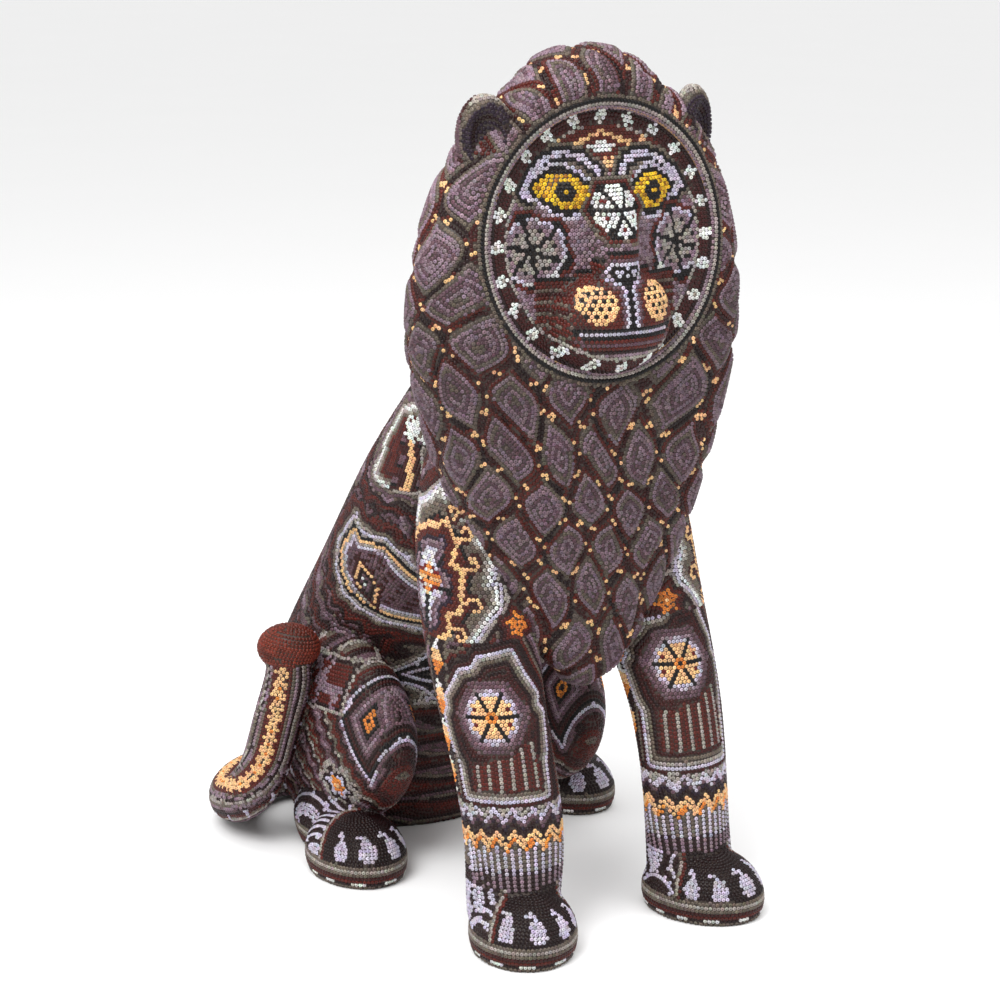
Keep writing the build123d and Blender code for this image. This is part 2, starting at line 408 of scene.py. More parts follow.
def sd_line(a, b, pts):
    q = np.array(pts, float)
    d = np.full(a.shape, 1e9)
    for (x0, y0), (x1, y1) in zip(q[:-1], q[1:]):
        ex, ey = x1 - x0, y1 - y0
        t = np.clip(((a - x0) * ex + (b - y0) * ey) / (ex * ex + ey * ey), 0, 1)
        d = np.minimum(d, np.hypot(a - x0 - t * ex, b - y0 - t * ey))
    return d


def star(cx, cy, n, r1, r2, turn=0.0):
    k = np.arange(2 * n)
    r = np.where(k % 2 == 0, r1, r2)
    a = turn + np.pi * k / n
    return np.stack([cx + r * np.sin(a), cy + r * np.cos(a)], 1)


def spiral(cx, cy, r, turn, hand=1):
    t = np.linspace(0, 1, 12)
    a = turn + hand * t * 4.6
    return np.stack([cx + r * (1 - 0.75 * t) * np.cos(a), cy + r * (1 - 0.75 * t) * np.sin(a)], 1)


def ease(t):
    t = np.clip(t, 0, 1)
    return t * t * (3 - 2 * t)


def tri_wave(t):
    return np.abs(np.mod(t, 1.0) * 2 - 1) * 2 - 1


PAL = {
    "k": (24, 19, 23), "D": (52, 24, 26), "m": (78, 33, 31), "r": (106, 45, 34), "t": (134, 64, 45),
    "v": (117, 95, 103), "l": (149, 131, 141), "L": (198, 190, 208), "s": (120, 114, 101),
    "g": (166, 161, 153), "c": (240, 192, 138), "o": (226, 142, 62), "w": (228, 230, 227),
    "y": (226, 184, 38), "a": (176, 126, 30), "p": (58, 43, 60), "x": (122, 30, 30),
}


def band(k, text, loop=0):
    """Colour of row k; after the last letter the last `loop` letters go round again."""
    c = np.array([PAL[x] for x in text], float)
    k = np.maximum(np.asarray(k).astype(np.int64), 0)
    n = len(c)
    if loop:
        k = np.where(k < n, k, n - loop + np.mod(k - n, loop))
    return c[np.minimum(k, n - 1)]


def put(col, where, letter):
    col[where] = PAL[letter]


def flower(col, a, b, r, petals, edge, dot, spoke, heart, turn=0.0, n=6):
    """A round of petals with a dot in each, dark spokes between them and a ringed heart."""
    rr, t = np.hypot(a, b), np.arctan2(a, b) - turn
    put(col, rr < r, petals)
    put(col, (rr < r) & (rr > r - 2.0), edge)
    near = np.abs(np.mod(t * n / (2 * np.pi), 1.0) - 0.5) * 2 * np.pi / n * rr
    put(col, (rr < r - 0.2) & (rr > 2.0) & (near < 1.15), spoke)
    off = np.abs(np.mod(t * n / (2 * np.pi) + 0.5, 1.0) - 0.5) * 2 * np.pi / n * rr
    put(col, (off < 1.05) & (np.abs(rr - r * 0.66) < 1.0), dot)
    put(col, rr < (3.2 if heart != spoke else 2.2), heart)
    put(col, rr < 1.15, "k")


# ------------------------------------------------------------------ mane locks
AXIS_Y = -72.0


def net(q, v, w, long):
    k0 = np.floor(q - 0.5)
    best, kb, cell = np.full(q.shape, 1e9), np.zeros(q.shape), k0 - 1
    c = np.pi * v / long
    for j in (-1, 0, 1, 2):
        k = k0 + j
        sg = np.where(np.mod(k, 2) == 0, 1.0, -1.0)
        qb = k + 0.5 + 0.5 * np.cos(c) * sg
        d = np.abs(q - qb) * w / np.sqrt(1 + (0.5 * np.pi / long * np.sin(c) * w) ** 2)
        kb = np.where(d < best, k, kb)
        best = np.minimum(best, d)
        cell = cell + (q > qb)
    step = np.floor((v + np.where(np.mod(cell, 2) == 0, 0, long)) / (2 * long))
    return best, kb, v, cell * 3 + step * 7


def side_net(p):
    x, y, z = p.T
    phi = np.arctan2(x, AXIS_Y - y)
    v = z + 5.0 * np.sin(3 * phi + 0.6) + 2.5 * np.sin(z / 17.0)
    q = phi * 20 / np.pi + 0.6 * np.sin(z / 33.0 + 2 * phi) + 0.28 * np.sin(z / 13.0 + 3 * phi)
    v = v + 4.0 * np.sin(q * 1.7)
    w = np.maximum(np.hypot(x, y - AXIS_Y), 30.0) * np.pi / 20
    return net(q, v, w, 25.0)


def top_net(p):
    x, y, z = p.T
    psi = np.arctan2(x, z - 345.0)
    q = psi * 98 / 13.0 + 0.5 * np.sin(y / 23.0 + 2 * psi)
    return net(q, y + 5 * np.sin(3 * psi) + 4 * np.sin(q * 1.7), np.hypot(x, z - 345.0) / 98 * 13.0, 25.0)


def back_net(p):
    x, y, z = p.T
    q = x / 12.5 + 0.4 * np.sin(z / 31.0 + x / 40.0)
    return net(q, z + 4 * np.sin(q * 1.7), np.full(len(p), 12.5), 25.0)


def mane_net(p):
    a, b, c = side_net(p), top_net(p), back_net(p)
    top = p[:, 2] > 399.0
    rear = (p[:, 1] > -76.0) & ~top
    return [np.where(top, j, np.where(rear, k, i)) for i, j, k in zip(a, b, c)]


def mane_relief(p):
    a, b = side_net(p)[0], top_net(p)[0]
    a = np.where(p[:, 1] > -76.0, back_net(p)[0], a)
    m = ease((p[:, 2] - 391.0) / 16.0)
    ha, hb = ease(a / 6.0), ease(b / 6.0)
    rim = np.where(p[:, 1] < -110.0, ease((face_rz(p) - 72.0) / 6.0), 1.0)
    return (2.5 * (ha * (1 - m) + hb * m) - 0.7) * rim


def by_ring(p):
    return (p[:, 1] < -110.0) & (face_rz(p) < RING_OUT)


def mane_field(p):
    return np.where(by_ring(p), ring_field(p), mane_net(p)[0] + 0.05)


def mane_paint(p):
    d, kb, v, cell = mane_net(p)
    k = np.floor(d / ROW)
    kind = np.mod(cell, 5)[:, None]
    a, b, c = band(k, "rsllvllv"), band(k, "mrlsvlvs"), band(k, "mslvlvll")
    col = np.where(kind < 2, a, np.where(kind < 4, b, c))
    put(col, (k == 0) & (np.mod(kb, 3) == 0), "D")
    put(col, (k == 0) & (np.mod(kb, 3) == 1), "m")
    put(col, (k == 1) & (np.mod(kb, 4) == 0), "r")
    # painted shade: the mane's colours get darker below 365 mm, by up to 13 % at 305 mm and lower, towards the chest
    col = col * (1 - 0.13 * ease((365.0 - p[:, 2]) / 60.0))[:, None]
    put(col, (d < 2.0) & (np.mod(v + 4.3 * kb, 13.5) < 2.3), "c")
    put(col, (d < 1.0) & (np.mod(v + 4.3 * kb, 13.5) > 2.3) & (np.mod(v + 4.3 * kb, 13.5) < 4.0), "r")
    ring = by_ring(p)
    if ring.any():
        col[ring] = ring_paint(p[ring])
    return col


# ------------------------------------------------------------------ face
FZ = 354.0
RING_OUT = 71.5
RING_FIELD = RING_OUT - 8 * 1.84
EYE_X, EYE_Z = 25.0, 380.0


def face_rz(p):
    return np.hypot(p[:, 0], (p[:, 2] - FZ) * 1.0)


def eye_shape(x, z, s):
    """Signed distance to the almond, outer end pointed and a little higher."""
    a, b = (x - s * EYE_X) * s, z - EYE_Z + (0.0 if s < 0 else 2.5)
    b = b - 0.10 * a
    h = 8.9 * np.clip(1 - np.abs(a / 15.5) ** 1.8, 0, 1)
    return np.where(np.abs(a) < 15.5, (np.abs(b) - h) * 0.85, np.hypot(np.abs(a) - 15.5, b)), a, b


def face_relief(p):
    x, y, z = p.T
    out = np.zeros(len(p))
    for s in (-1, 1):
        d, a, b = eye_shape(x, z, s)
        out += 2.2 * np.exp(-(a * a / 110 + b * b / 42)) - 0.9 * np.exp(-((d - 2.0) ** 2) / 3.0)
        out += 1.8 * np.exp(-((b - 13.5 + a * a / 60) ** 2) / 10 - a * a / 260)
        out += 1.5 * np.exp(-((x - s * 17) ** 2 + (z - 326) ** 2) / 60)
    out += 1.4 * np.exp(-(x * x / 60 + (z - 337) ** 2 / 50))
    out -= 1.7 * np.exp(-((z - 311 - np.abs(x) * 0.06) ** 2) / 4.0) * (np.abs(x) < 27)
    out -= 0.9 * np.exp(-x * x / 3.0) * (z < 330) * (z > 310)
    return out * (face_rz(p) < 52)


def face_field(p):
    x, y, z = p.T
    f = np.abs(RING_FIELD - face_rz(p)) + 0.01
    for s in (-1, 1):
        f = np.minimum(f, np.abs(eye_shape(x, z, s)[0]) + 0.02)
        f = np.minimum(f, np.abs(sd_poly(x, z, star(s * 17, 326, 3, 9.4, 9.4 * 0.87, 0.0))) + 0.02)
    return np.minimum(f, np.abs(np.hypot(x, z - 370) - 12.0))


def ring_field(p):
    return RING_OUT - face_rz(p) + 0.01


def ring_paint(p):
    r = face_rz(p)
    k = np.floor((RING_OUT - r) / ROW)
    col = band(k, "skglDmmmDk")
    t = np.arctan2(p[:, 0], p[:, 2] - FZ)
    n = 24
    rc = RING_OUT - 6.0 * ROW
    c = (np.round(t * n / (2 * np.pi))) * 2 * np.pi / n
    d = np.hypot(p[:, 0] - rc * np.sin(c), p[:, 2] - FZ - rc * np.cos(c))
    put(col, d < 3.25, "w")
    put(col, d < 1.0, "g")
    return col


def face_paint(p):
    x, y, z = p.T
    f = face_field(p)
    k = np.floor(f / ROW)
    ax = np.abs(x)
    ground = RING_FIELD - face_rz(p)
    col = np.where((np.mod(np.floor((z + 0.5 * ax) / ROW), 4) < 3)[:, None], PAL["l"], PAL["v"]).astype(float)
    put(col, ground < 1.9, "g")
    out = ground < 0
    ringc = ring_paint(p)
    keep_ring = ringc[out]
    # forehead
    put(col, (z > 385) & (ax < 34) & (np.mod(np.floor((z + 0.35 * ax - 385) / ROW), 4) == 2), "r")
    dm = np.abs(x) / 19 + np.abs(z - 399.6) / 7.6
    put(col, (dm < 1.8) & (z > 391), "r")
    put(col, (dm < 1.18), "c")
    put(col, dm < 0.82, "r")
    put(col, (np.abs(x) / 8.5 + np.abs(z - 399.6) / 3.4) < 1, "w")
    for s in (-1, 1):
        put(col, sd_line(x, z, [(s * 19, 399.6), (s * 24, 401), (s * 24.5, 405)]) < 1.1, "c")
    put(col, sd_line(x, z, [(0, 393.5), (0, 391), (4, 389.5), (4, 392)]) < 1.1, "c")
    # brows
    for s in (-1, 1):
        e = 0.0 if s < 0 else -2.0
        arc = [(s * 6, 388 + e), (s * 12, 395 + e), (s * 22, 398 + e), (s * 32, 395.5 + e), (s * 41, 388 + e), (s * 46, 380 + e), (s * 42, 377 + e)]
        d = sd_line(x, z, arc)
        put(col, d < 5.6, "s")
        put(col, d < 3.6, "k")
        put(col, d < 1.6, "L")
    # eyes
    for s in (-1, 1):
        d, a, b = eye_shape(x, z, s)
        put(col, d < 4.3, "L")
        put(col, d < 2.2, "k")
        put(col, d < -0.2, "y")
        r = np.hypot(a, b)
        put(col, (d < -0.2) & (np.mod(np.floor(a / 2.1) + 2 * np.floor(b / 1.84), 5) == 0), "a")
        put(col, (d < 0.4) & (r < 5.2), "k")
        put(col, r < 1.35, "y")
    # flower on the bridge
    b = z - 370
    rr = np.hypot(x, b)
    lobe = rr + 1.3 * np.cos(6 * np.arctan2(x, b))
    put(col, lobe < 17.0, "s")
    put(col, lobe < 15.2, "r")
    put(col, lobe < 13.4, "k")
    flower(col, x, b, 12.4, "w", "w", "x", "k", "k", 0.0)
    # cheeks
    for s in (-1, 1):
        a, b = (x - s * 42), z - 351
        rr = np.hypot(a, b)
        lobe = rr + 1.6 * np.cos(6 * np.arctan2(a, b) - 1.8)
        put(col, (lobe < 20.0) & (ground > 1.9), "r")
        put(col, (lobe < 18.0) & (ground > 1.9), "k")
        fl = col.copy()
        flower(fl, a, b, 16.4, "g", "L", "k", "k", "k", 0.3)
        put(fl, (rr < 14.4) & (rr > 11.0) & (fl.sum(1) > 200), "l")
        ok = (ground > 1.9) & (rr < 16.4)
        col[ok] = fl[ok]
        hook = [(s * 31, 352), (s * 28, 345), (s * 32, 342), (s * 30, 338)]
        put(col, (sd_line(x, z, hook) < 1.3) & (rr > 15), "w")
    # muzzle: a stepped dark line over rust rows
    top = np.where(ax < 9, 352.0, np.where(ax < 14, 347.0, np.where(ax < 21, 342.0, 338.0)))
    mz = (z < top) & (ax < 40) & (z > 300) & (ground > 1.9)
    kk = np.floor((top - z) / ROW)
    mcol = band(kk, "krrrmrrrmr", 4)
    put(mcol, (ax > 28) & (kk > 1) & (np.mod(kk, 3) == 0), "s")
    col[mz] = mcol[mz]
    # nose and the line down to the mouth
    put(col, (ax < 10.5) & (z < 347) & (z > 333), "v")
    put(col, (ax < 6.0) & (z < 335) & (z > 311), "v")
    lobe = np.hypot(ax - 4.3, z - 340.5)
    stem = np.where(z < 338, ax - 0.55 * np.clip(z - 332, 0, 9), 99.0)
    put(col, (lobe < 6.0) | ((stem < 3.4) & (z > 311)), "L")
    put(col, (lobe < 4.0) | ((stem < 1.25) & (z > 310)), "k")
    put(col, lobe < 1.5, "L")
    # pads
    for s in (-1, 1):
        d = sd_poly(x, z, star(s * 17, 326, 3, 9.4, 9.4 * 0.87, 0.0))
        d = np.minimum(d, np.hypot(x - s * 17, z - 326) - 9.0)
        put(col, d < 2.2, "r")
        put(col, d < 0.4, "c")
        j = np.round((z - FZ) / ROW)
        i = x / PITCH - 0.5 * np.mod(j, 2)
        ir = np.round(i)
        hit = (np.mod(j, 2) == 0) & (np.mod(ir + np.mod(j / 2, 2), 2) == 0)
        put(col, (d < -1.0) & hit, "k")
    # mouth and chin
    mo = z - 311 - ax * 0.06
    put(col, (np.abs(mo) < 2.6) & (ax < 28), "k")
    put(col, (np.abs(mo) < 0.95) & (ax < 25), "L")
    ch = (mo < -2.6) & (ax < 27) & (ground > 1.9)
    col[ch] = band(np.floor((-2.6 - mo[ch]) / ROW), "rvrDlvrDv", 5)
    col[out] = keep_ring
    return col


# ------------------------------------------------------------------ body
FLANK = [(-16, 187), (-22, 179), (-37.6, 177.6), (-41.6, 169.4), (-44.5, 153), (-57, 133.5), (-49, 121), (-35.7, 120),
         (-18, 130.5), (-2.3, 144.8), (1.7, 158.2), (0.7, 171.5)]
FLANK = [((y + 17) * 0.9 - 7, z + 4) for y, z in FLANK]
BIRD = [(-69, 241), (-79, 238), (-79, 226), (-71, 218), (-67, 196), (-59, 193), (-43.5, 194), (-33.7, 198), (-33.7, 203),
        (-41.6, 213), (-39.6, 216), (-50, 230), (-55, 238)]
BIRD = [(y + 9, z + 21) for y, z in BIRD]
CREAM = [(-3, 27), (3, 27), (9, 31), (17.4, 19.5), (15, 10.3), (21, 6.7), (22, -13.3), (15, -16.4), (16.4, -25), (3.5, -33.8),
         (-8, -27), (-17, -16), (-20, -3), (-18, 12), (-12, 22)]
SHOULDER = [(3, 46), (7, 42), (13, 44.6), (20, 34), (27, 28.7), (29, 20.5), (35, 17.4), (35, 0), (38, -1), (39, -13), (33, -20.5),
            (31, -26.7), (23, -36), (19, -34), (19, -43), (8, -51), (1, -46), (-6, -43), (-8, -36), (-15, -34), (-17, -26),
            (-23, -23), (-23, -12), (-27, -8), (-27, 8), (-23, 12), (-22, 21), (-15, 25), (-14, 34), (-6, 38)]
STEM_LINE = [(-57, 242), (-56, 232), (-51, 221), (-44, 210)]
GLYPH = ["..ww.w..", ".w.w.ww.", "wwwwww.w", ".wwwwwww", "w.wwww..", "wwwwww.w", "..ww.ww.", "...w...."]
DEER = ["l..l.l......", "lll..l......", ".ll.ll......", "..lll.......", "..llll......", ".lllllllllll", "...lllllllll", "...llllllll.",
        "...ll....ll.", "...l.....l..", "..ll.....ll."]


def stamp(col, a, b, rows, size):
    i = np.floor(a / size + len(rows[0]) / 2).astype(np.int64)
    j = np.floor(len(rows) / 2 - b / size).astype(np.int64)
    ok = (i >= 0) & (i < len(rows[0])) & (j >= 0) & (j < len(rows))
    for n in np.nonzero(ok)[0]:
        ch = rows[j[n]][i[n]]
        if ch != ".":
            col[n] = PAL[ch]


def torso_split(p):
    x, y, z = p.T
    s = -np.abs(x)
    u, w = 0.6 * (s + 76) - 0.8 * (y + 106), z - 184
    mid = 60 - 0.54 * (z - 60)
    flank = sd_poly(y, z, FLANK)
    bird = sd_poly(y, z, BIRD)
    shoulder = sd_poly(u, w, SHOULDER)
    ridge = np.where(y > mid + 12, np.abs(x) - 17.0, 1e6)
    near_star = sd_poly(np.abs(x) - 45, z - 163, star(0, 0, 6, 8.5, 4.4, 0.2)) + np.where(y > -100, 1e6, 0)
    low = sd_poly(y, z, star(-12, 92, 6, 17, 13, 0.2)) + 0.0
    return np.stack([flank, bird, shoulder, ridge, near_star, low]), u, w


def stepped(sd, p):
    """The rows away from a figure run in small steps."""
    x, y, z = p.T
    return sd + ease(sd / 7.0) * (1.9 * tri_wave((y + z) / 15.0) + 1.5 * tri_wave((y - 1.3 * z) / 21.0) + 1.2)


def torso_field(p):
    d, u, w = torso_split(p)
    return stepped(d.min(0), p) + 60 * ROW


def torso_paint(p):
    x, y, z = p.T
    D, u, w = torso_split(p)
    which, sd = D.argmin(0), stepped(D.min(0), p)
    k = np.floor(sd / ROW)
    n = len(p)
    col = np.zeros((n, 3))
    # around each figure
    out = [band(k, "gLgsDmrrDvmDsvlvDm", 12), band(k, "gsvlsDmrmDv", 8), band(k, "LgDmrrDvlvDms", 10), band(k, "gsDvlvDmr", 7), band(k, "rmDsvDm", 5),
           band(k, "kLgsDmrrmDv", 8)]
    for i in range(6):
        m = (which == i) & (sd >= 0)
        col[m] = out[i][m]
    # flank
    m = (which == 0) & (sd < 0)
    ki = np.floor(-sd / ROW)
    c = band(ki, "kcgLvmvmvmv", 2)
    put(c, (ki > 3) & (np.mod(np.floor((y + z) / 4.2), 2) == 0) & (np.mod(ki, 2) == 1), "v")
    h = np.abs(y + 7) * 1.15 + np.abs(z - 156) * 0.62
    h = np.maximum(h, np.abs(y + 7) * 1.6)
    put(c, h < 10.5, "m")
    put(c, h < 8.6, "c")
    put(c, h < 6.4, "D")
    put(c, h < 4.4, "v")
    put(c, h < 2.4, "w")
    put(c, h < 0.9, "k")
    col[m] = c[m]
    # bird panel
    m = (which == 1) & (sd < 0)
    c = band(ki, "wgsrmrr", 3)
    put(c, sd_line(y, z, STEM_LINE) < 7.5, "m")
    blob = np.abs(sd_line(y, z, STEM_LINE) - 6.2) < 1.7
    put(c, blob & (np.mod(np.floor(z / 6.0), 2) == 0), "v")
    put(c, blob & (np.mod(np.floor(z / 6.0), 2) == 0) & (np.mod(z, 6.0) < 1.9), "k")
    put(c, sd_line(y, z, STEM_LINE) < 1.9, "c")
    stamp(c, -(y + 59), z - 249, GLYPH, 1.85)
    col[m] = c[m]
    # shoulder
    m = (which == 2) & (sd < 0)
    c = band(ki, "wgssskrrrrr")
    dc = sd_poly(u, w, CREAM)
    kc = np.floor(-dc / ROW)
    t, rr = np.arctan2(u, w), np.hypot(u, w)
    inner = band(kc, "crrplvLwLwLw", 2)
    near = np.abs(np.mod(t * 5 / (2 * np.pi), 1.0) - 0.5) * 2 * np.pi / 5 * rr
    put(inner, (near < 1.1) & (rr > 5) & (kc > 2), "k")
    put(inner, rr < 9.0, "w")
    cross = np.minimum(np.abs(u), np.abs(w))
    put(inner, (rr < 8.8) & (cross > 2.2), "L")
    put(inner, (rr < 8.8) & (cross > 2.2) & (cross < 3.8), "x")
    put(inner, (rr < 8.8) & (cross < 1.9), "o")
    put(inner, (rr < 8.8) & (cross < 0.9), "c")
    put(inner, rr < 1.3, "k")
    c[dc < 0.9] = inner[dc < 0.9]
    put(c, np.abs(dc) < 1.05, "c")
    for cx, cy, tn, hd in ((12, 35, -1.2, 1), (20.5, 25.5, -1.8, 1), (25.5, 11, -2.2, 1), (28.5, -11, 2.6, -1), (22, -25.5, 2.2, -1), (8, -39.5, 1.9, -1)):
        ds = sd_line(u, w, spiral(cx, cy, 4.3, tn, hd))
        put(c, (ds > 1.05) & (ds < 2.2) & (dc > 1), "m")
        put(c, (ds < 1.05) & (dc > 1), "c")
    col[m] = c[m]
    # back line
    m = (which == 3) & (sd < 0)
    zz = np.abs(x) + 2.6 * tri_wave(z / 9.0)
    c = band(np.floor(zz / ROW), "mrrvkwwks")
    put(c, np.abs(x) > 15.4, "g")
    col[m] = c[m]
    # star
    m = (which == 4) & (sd < 0)
    c = band(ki, "oock")
    col[m] = c[m]
    # low figure
    m = (which == 5) & (sd < 0)
    c = band(ki, "LkgsDvr", 4)
    flower(c, y + 12, z - 92, 7.8, "c", "w", "k", "k", "o", 0.2)
    col[m] = c[m]
    return col


# ------------------------------------------------------------------ forelegs and paws
LEG = {-1: ((-57.0, -106.0), (-57.0, -150.0)), 1: ((57.0, -106.0), (57.0, -150.0))}


def leg_uv(p):
    x, y, z = p.T
    s = np.where(x < 0, -1.0, 1.0)
    f = np.clip(z / 150.0, 0, 1)
    cx, cy = s * 57.0, -150.0 + 34.0 * f
    t = np.arctan2((x - cx) * 1.0, -(y - cy))
    return t * 29.0 + 9.0, z - np.where(x < 0, -5.0, 6.0) * np.clip((z - 80) / 20.0, 0, 1), t


PANEL = [(16, 158), (-5, 155), (-8, 150), (-17, 148), (-19, 144), (-29, 132.5), (-27, 128.5), (-31, 124), (-25, 104), (-22, 100),
         (-21, 78), (24, 78), (25, 100), (27, 104), (31, 124), (27, 128.5), (29, 132.5), (22, 144)]
STRIPES = [(-13, 101), (-4, 102), (-3, 105), (8, 105), (10, 109), (18, 112), (20, 85), (-13, 85)]
ZIG = 72.0
LEG_TOP = 156.0


def leg_field(p):
    u, z, t = leg_uv(p)
    high = p[:, 2] > LEG_TOP
    low = np.where(z > ZIG + 4, sd_poly(u, z, PANEL) + 60 * ROW, z + 2.6 * tri_wave(u / 9.0) + 60 * ROW)
    low = np.where(z + 2.6 * tri_wave(u / 9.0) <= ZIG - 16.5, t * 29.0 + 90 * ROW, low)
    low = np.where(sd_poly(u, z, STRIPES) < 0, u + 90 * ROW, low)
    return np.where(high, torso_field(p), low)


def leg_paint(p):
    u, z, t = leg_uv(p)
    au = np.abs(u - 0.0)
    sd = sd_poly(u, z, PANEL)
    ko = np.floor(sd / ROW)
    col = band(ko, "mDDrsDvlsDmr", 6)
    # hexagons down both sides
    side = np.abs(np.abs(t) - 1.45) * 29.0
    zc = np.mod(z - 84.0, 19.0) - 9.5
    hexd = np.maximum(side * 0.8 + np.abs(zc) * 0.62, side * 1.1)
    zone = (side < 8.6) & (z > 80) & (z < 160)
    put(col, zone, "D")
    put(col, zone & (hexd < 6.2), "c")
    put(col, zone & (hexd < 6.2) & (zc < -1.5), "o")
    put(col, zone & (hexd < 6.2) & (zc > 4.2), "w")
    edge = (np.abs(side - 8.6) < 1.0) & (z > 80)
    put(col, edge, "s")
    # the flower's panel
    ki = np.floor(-sd / ROW)
    c = band(ki, "LgsDmmmmmm")
    fa, fb = u, z - 125.0
    rr = np.hypot(fa, fb) + 1.6 * np.cos(6 * np.arctan2(fa, fb))
    halo = np.floor((rr - 12.6) / ROW)
    hc = band(halo, "lvvmmDm", 1)
    big = (ki > 4) | (rr < 19)
    c[big & (ki > 3)] = hc[big & (ki > 3)]
    flower(c, fa, fb, 13.0, "c", "L", "x", "k", "o", 0.0)
    ds = sd_poly(u, z, STRIPES)
    put(c, (ds < 1.6), "m")
    st = (ds < 0.2)
    put(c, st, "r")
    put(c, st & (np.mod(np.floor(u / ROW), 3) == 0), "g")
    col[sd < 0] = c[sd < 0]
    # cuffs below the panel
    zz = z + 2.6 * tri_wave(u / 9.0)
    low = z < ZIG + 4.5
    cuff = band(np.floor((ZIG + 3 - zz) / ROW), "gLLvpDDc")
    put(cuff, (zz < ZIG - 10.0) & (zz > ZIG - 16.5), "c")
    put(cuff, (zz < ZIG - 13.5) & (zz > ZIG - 16.5) & (np.mod(u / 9.0, 1.0) < 0.5), "o")
    st = zz <= ZIG - 16.5
    ang = np.mod(np.floor(t * 29.0 / ROW), 2)
    s1 = np.where((ang < 1)[:, None], np.where((z > 42)[:, None], PAL["L"], PAL["l"]), np.where((z > 44)[:, None], PAL["s"], PAL["D"]))
    cuff[st] = s1[st]
    col[low] = cuff[low]
    high = p[:, 2] > LEG_TOP
    if high.any():
        col[high] = torso_paint(p[high])
    return col


PAWS = {
    "front_paw_right_beads": (-55.0, -163.0, 34.0, 12.0),
    "front_paw_left_beads": (55.0, -163.0, 34.0, -12.0),
    "hind_paw_right_beads": (-77.0, -22.0, 36.0, 0.0),
    "hind_paw_left_beads": (80.0, 18.0, 36.0, 0.0),
}


def paw_uv(p, name):
    cx, cy, ry, _ = PAWS[name]
    x, y, z = p.T
    t = np.arctan2(x - cx, -(y - cy))
    return t, x - cx, -(y - cy), z


def paw_field(p, name):
    t, a, b, z = paw_uv(p, name)
    hind = name.startswith("hind")
    edge = -b + (3.0 if not hind else -2.0) + 0.018 * a * a
    top = 27.0 * np.arctan2(z - 9.0, np.hypot(a, b * 0.8)) + 60 * ROW
    return np.where(z < 13.5, z + 30 * ROW, np.where(edge > 5.2, a + 120 * ROW, top))


def paw_paint(p, name):
    t, a, b, z = paw_uv(p, name)
    n = len(p)
    hind = name.startswith("hind")
    col = np.tile(np.array(PAL["D"], float) * 0.82, (n, 1))
    # cuff over the back of the paw
    back = b < (4.0 if not hind else 2.0)
    arc = np.hypot(a, b - (10.0 if not hind else 8.0))
    lim = 14.0
    k = np.floor((z - 9.0) / ROW)
    st = np.where((np.mod(np.floor(a / ROW), 2) == 0)[:, None], PAL["L"], PAL["D"]).astype(float)
    edge = -b + (3.0 if not hind else -2.0) + 0.018 * a * a
    col[edge > 5.2] = st[edge > 5.2]
    m = (edge > 0) & (edge <= 5.2)
    col[m] = band(np.floor(edge[m] / ROW), "rgs")
    # base rows all round
    base = z < 13.5
    kb = np.floor((13.5 - z) / ROW)
    bc = band(kb, "sgsmrDsmD", 2)
    dash = np.mod(t * 30.0, 17.0) < 7.5
    put(bc, (kb == 5) & dash, "w")
    put(bc, (kb == 1) & ~dash, "g")
    col[base] = bc[base]
    # four claws
    rad = 27.0
    for i in range(4):
        tc = np.radians(-48 + 32 * i) if not hind else np.radians(-45 + 30 * i)
        u, v = (t - tc) * rad, 27.0 * np.arctan2(z - 9.0, np.hypot(a, b * 0.8)) - 10.0
        body = np.hypot(u / 4.3, np.minimum(v, 0) / 5.0 + np.maximum(v, 0) / 8.0)
        claw = (body < 1) & (b > -4) & (z > 12.5)
        put(col, claw, "L")
        tip = sd_line(u, v, [(0, 6), (-0.5, 9.0), (-2.4, 10.4), (-4.2, 9.0)])
        put(col, (tip < 1.1) & (b > -4), "L")
    return col


# ------------------------------------------------------------------ haunches
def haunch_uv(p):
    x, y, z = p.T
    return y + 33.0, z - 86.0


def haunch_d(p):
    a, b = haunch_uv(p)
    x, y, z = p.T
    dia = np.abs(a) / 0.62 + np.abs(b) / 1.2
    return dia


def haunch_f(p):
    f = haunch_d(p) * 0.60
    return f + ease((f - 16.0) / 6.0) * 2.0 * tri_wave((p[:, 1] + p[:, 2]) / 12.0)


def haunch_field(p):
    return haunch_f(p) + 60 * ROW


def haunch_paint(p):
    x, y, z = p.T
    a, b = haunch_uv(p)
    f = haunch_f(p)
    k = np.floor(f / ROW)
    col = band(k, "ookvlvDmkLvDmrrsgDmvlvDmrs", 12)
    put(col, np.hypot(a, b) < 1.4, "k")
    # vertical pale bands towards the back
    v = y - 44
    kk = np.floor(np.abs(v) / ROW)
    m = (kk < 5) & (z > 34) & (z < 118)
    c = band(kk, "LgrmD")
    col[m] = c[m]
    # figure behind the diamond
    edge = np.maximum(np.abs(y - 2) - 18, np.abs(z - 100) - 15)
    core = haunch_d(p) < 17
    put(col, (edge < 0) & ~core, "r")
    put(col, (edge < 0) & (edge > -2.0) & ~core, "g")
    put(col, (edge < -2.0) & (edge > -3.9) & ~core, "D")
    deer = col.copy()
    stamp(deer, -(y - 2), z - 100, DEER, 2.3)
    col[~core] = deer[~core]
    # star towards the foot
    ds = sd_poly(y, z, star(-8, 44, 6, 9.5, 5.5, 0.3))
    kd = np.floor(-ds / ROW)
    m = ds < 5.5
    c = band(np.floor((5.5 - ds) / ROW), "ggDLocck")
    col[m] = c[m]
    return col


# ------------------------------------------------------------------ tail
TAIL = np.array([(-31, 92, 16), (-60, 104, 15.5), (-90, 96, 15.5), (-107, 70, 18), (-109, 43, 31), (-106, 27, 54), (-102, 19, 82), (-98, 15.5, 114)], float)


